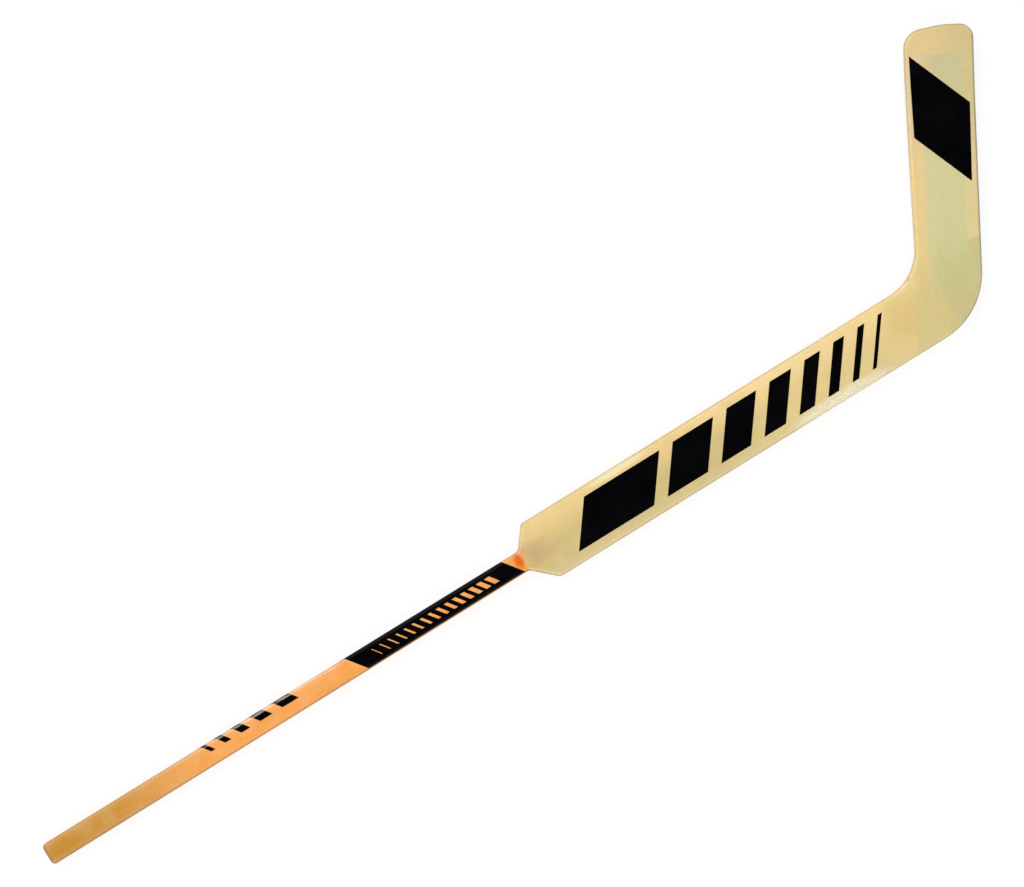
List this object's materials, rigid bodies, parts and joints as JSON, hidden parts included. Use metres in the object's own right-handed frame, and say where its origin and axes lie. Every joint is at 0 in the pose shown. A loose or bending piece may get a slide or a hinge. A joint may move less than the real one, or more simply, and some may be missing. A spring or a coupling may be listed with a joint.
{
  "type": "hockey goalie stick",
  "caption": "Foam-core ice hockey goalie stick with a slim wooden shaft, a wide paddle and an angled, gently curved blade faced in glass fibre.",
  "frame": {"origin": "on the flat back of the paddle, halfway along it, on the shaft's centreline", "axes": "+X along the shaft from the butt to the heel, +Y to the side the blade points to, +Z out of the front face, which the blade curves towards"},
  "size_m": [1.5441, 0.352, 0.0284],
  "materials": {
    "shaft_face_wood": "clear gloss varnish",
    "shaft_core_wood": "clear gloss varnish",
    "shaft_centre_wood": "clear gloss varnish",
    "block_wood": "clear gloss varnish",
    "edge_wood": "clear gloss varnish",
    "foam": "raw rigid foam",
    "glass_skin": "resin-rich glass-fibre laminate, clear gloss coat",
    "glass_patch": "glass-fibre cloth in resin",
    "black_print": "screen-printed ink under clear coat"
  },
  "bodies": {
    "root": {"shaft_front_ply": "shaft_face_wood", "shaft_front_core": "shaft_core_wood", "shaft_centre_ply": "shaft_centre_wood", "shaft_back_core": "shaft_core_wood", "shaft_back_ply": "shaft_face_wood", "upper_shoulder_block": "block_wood", "lower_shoulder_block": "block_wood", "paddle_upper_core": "foam", "paddle_lower_core": "foam", "paddle_upper_edge_strip": "edge_wood", "paddle_lower_edge_strip": "edge_wood", "paddle_front_skin": "glass_skin", "paddle_back_skin": "glass_skin", "heel_block": "block_wood", "heel_front_patch": "glass_patch", "heel_back_patch": "glass_patch", "blade_top_strip": "edge_wood", "blade_bottom_strip": "edge_wood", "blade_core": "foam", "toe_block": "block_wood", "blade_front_skin": "glass_skin", "blade_back_skin": "glass_skin"}
  },
  "joints": []
}
